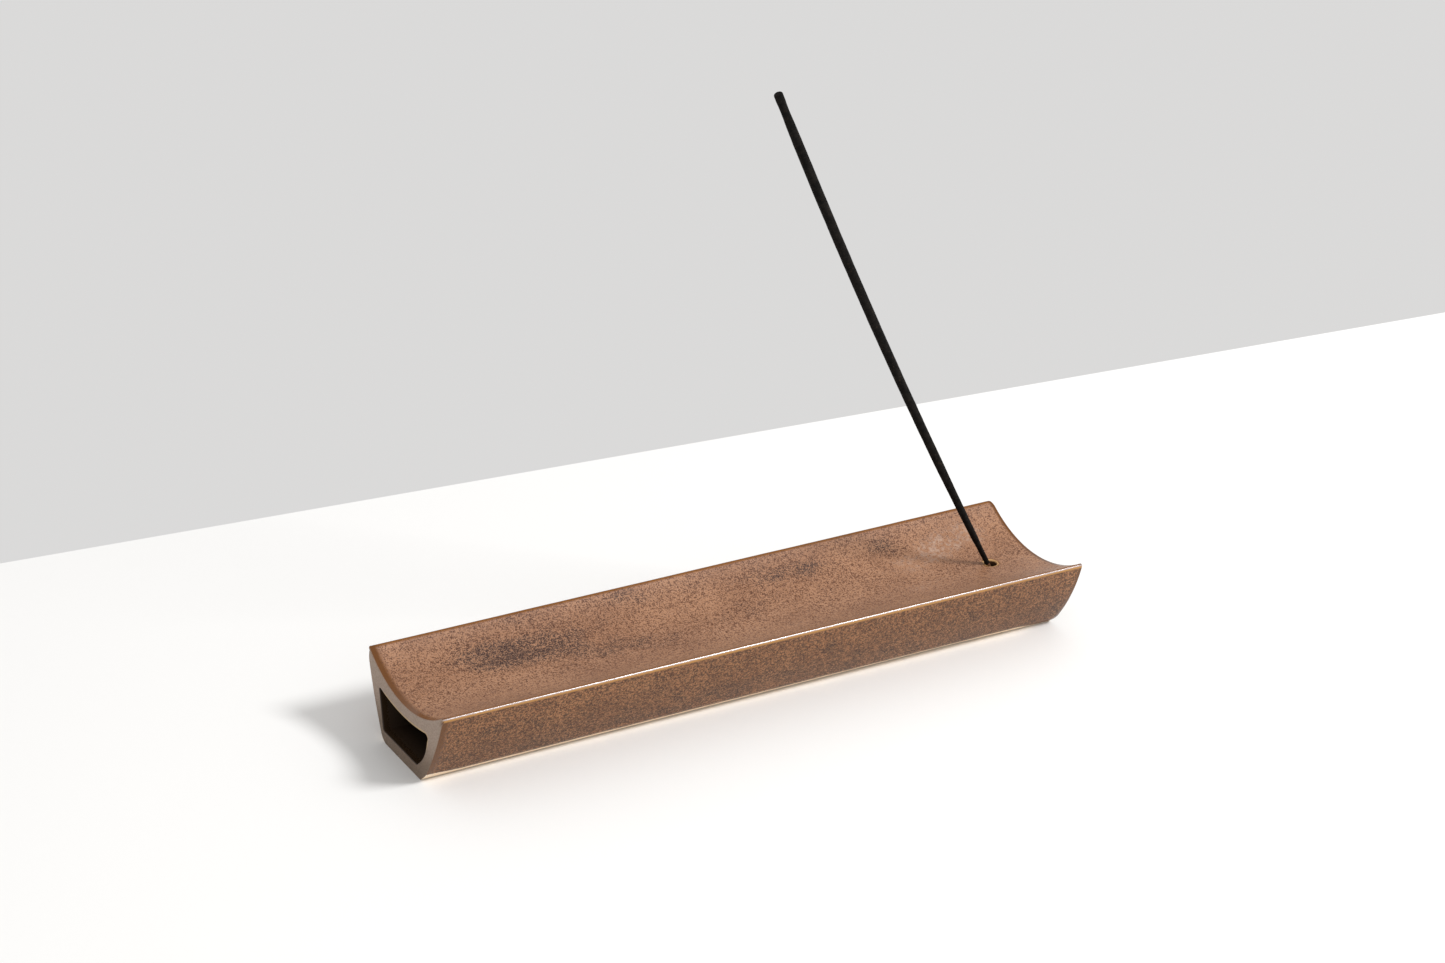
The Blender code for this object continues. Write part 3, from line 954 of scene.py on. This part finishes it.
def paste_material():
    """Pressed charcoal paste: black, dry, flecked with grey and brown wood."""
    shade = Shade("black_paste")
    grit = shade.noise(0.5 * MM, detail=3.0, rough=0.7)
    blotch = shade.noise(2.4 * MM, detail=2.0, shift=5.0)
    fleck = shade.noise(0.8 * MM, detail=2.0, rough=0.6, shift=11.0)
    base = shade.mix(shade.step(blotch, 0.35, 0.68), *PASTE_BLACK)
    base = shade.mix(shade.times(shade.step(grit, 0.54, 0.72), 0.5), base, PASTE_GREY)
    base = shade.mix(shade.times(shade.step(fleck, 0.60, 0.74), 0.6), base, PASTE_WOOD)
    shade.set("Base Color", base)
    shade.set("Roughness", shade.step(grit, 0.3, 0.7, 0.90, 0.74))
    shade.set("IOR", 1.19)
    shade.bump(grit, 0.10 * MM, 0.8)
    return shade.material


def bamboo_material():
    """Bare bamboo: fine fibres along the stick, stained darker by the paste."""
    shade = Shade("bamboo")
    fibre = shade.noise(0.35 * MM, detail=3.0, rough=0.65, stretch=(1, 1, 0.12))
    stain = shade.noise(3.0 * MM, detail=1.0, shift=4.0)
    base = shade.mix(shade.step(fibre, 0.35, 0.65), *BAMBOO_BROWN)
    base = shade.mix(shade.step(stain, 0.4, 0.7), base, BAMBOO_STAIN)
    shade.set("Base Color", base)
    shade.set("Roughness", shade.step(fibre, 0.3, 0.7, 0.50, 0.68))
    shade.bump(fibre, 0.05 * MM, 0.6)
    return shade.material


def table_material():
    """White table, with a faint unevenness."""
    shade = Shade("table_white")
    shade.set("Base Color", (*TABLE_WHITE, 1.0))
    shade.set("Roughness", 0.7)
    shade.bump(shade.noise(3.5 * MM, detail=3.0), 0.08 * MM, 0.4)
    return shade.material


# ---------------------------------------------------------------- studio

def add_camera():
    """The camera, looking back along its azimuth and elevation, then rolled."""
    cosine = math.cos(CAMERA_ELEVATION)
    back = Vector((math.sin(CAMERA_AZIMUTH) * cosine, -math.cos(CAMERA_AZIMUTH) * cosine,
                   math.sin(CAMERA_ELEVATION)))
    right = (-back).cross(Vector((0, 0, 1))).normalized()
    up = right.cross(-back)
    turned_right = right * math.cos(CAMERA_ROLL) - up * math.sin(CAMERA_ROLL)
    turned_up = right * math.sin(CAMERA_ROLL) + up * math.cos(CAMERA_ROLL)
    data = bpy.data.cameras.new("camera")
    data.sensor_width = CAMERA_SENSOR
    data.lens = CAMERA_LENS
    data.clip_start = 0.01
    data.clip_end = 20.0
    camera = bpy.data.objects.new("camera", data)
    turn = Matrix((turned_right, turned_up, back)).transposed().to_4x4()
    camera.matrix_world = Matrix.Translation(CAMERA_PLACE) @ turn
    bpy.context.collection.objects.link(camera)
    bpy.context.scene.camera = camera


def add_key_light():
    data = bpy.data.lights.new("key_light", "AREA")
    data.shape = "DISK"
    data.size = 2 * KEY_DISTANCE * math.tan(KEY_WIDTH / 2)
    data.energy = KEY_IRRADIANCE * math.pi * KEY_DISTANCE ** 2
    light = bpy.data.objects.new("key_light", data)
    light.location = KEY_DIRECTION * KEY_DISTANCE
    light.rotation_euler = KEY_DIRECTION.to_track_quat("Z", "Y").to_euler()
    light.visible_camera = False
    bpy.context.collection.objects.link(light)


def add_room():
    world = bpy.data.worlds.new("room")
    world.use_nodes = True
    background = world.node_tree.nodes["Background"]
    background.inputs["Color"].default_value = (*ROOM_GREY, 1.0)
    background.inputs["Strength"].default_value = 1.0
    bpy.context.scene.world = world
    bpy.context.scene.view_settings.view_transform = "Standard"
    bpy.context.scene.view_settings.look = "None"


def add_table(material):
    """A white slab whose top is Z = 0. Its back edge runs just behind the bar."""
    left, right = TABLE_BACK
    way = (right - left).normalized()
    start = left - way * TABLE_REACH
    end = right + way * TABLE_REACH
    toward_camera = Vector((way.y, -way.x)) * TABLE_REACH
    outline = [start, start + toward_camera, end + toward_camera, end]
    points = [(p.x, p.y, 0) for p in outline] + [(p.x, p.y, -TABLE_THICK) for p in outline]
    faces = [(0, 1, 2, 3), (7, 6, 5, 4)]
    for i in range(4):
        j = (i + 1) % 4
        faces.append((j, i, i + 4, j + 4))
    mesh = bpy.data.meshes.new("table")
    mesh.from_pydata(points, [], faces)
    mesh.materials.append(material)
    table = bpy.data.objects.new("table", mesh)
    bpy.context.collection.objects.link(table)


add_camera()
add_key_light()
add_room()
add_table(table_material())
stoneware_bar(glaze_material())
stick_place, stick_lean = stick_frame()
incense_paste(paste_material(), stick_place)
bamboo_splint(bamboo_material(), stick_place, stick_lean)
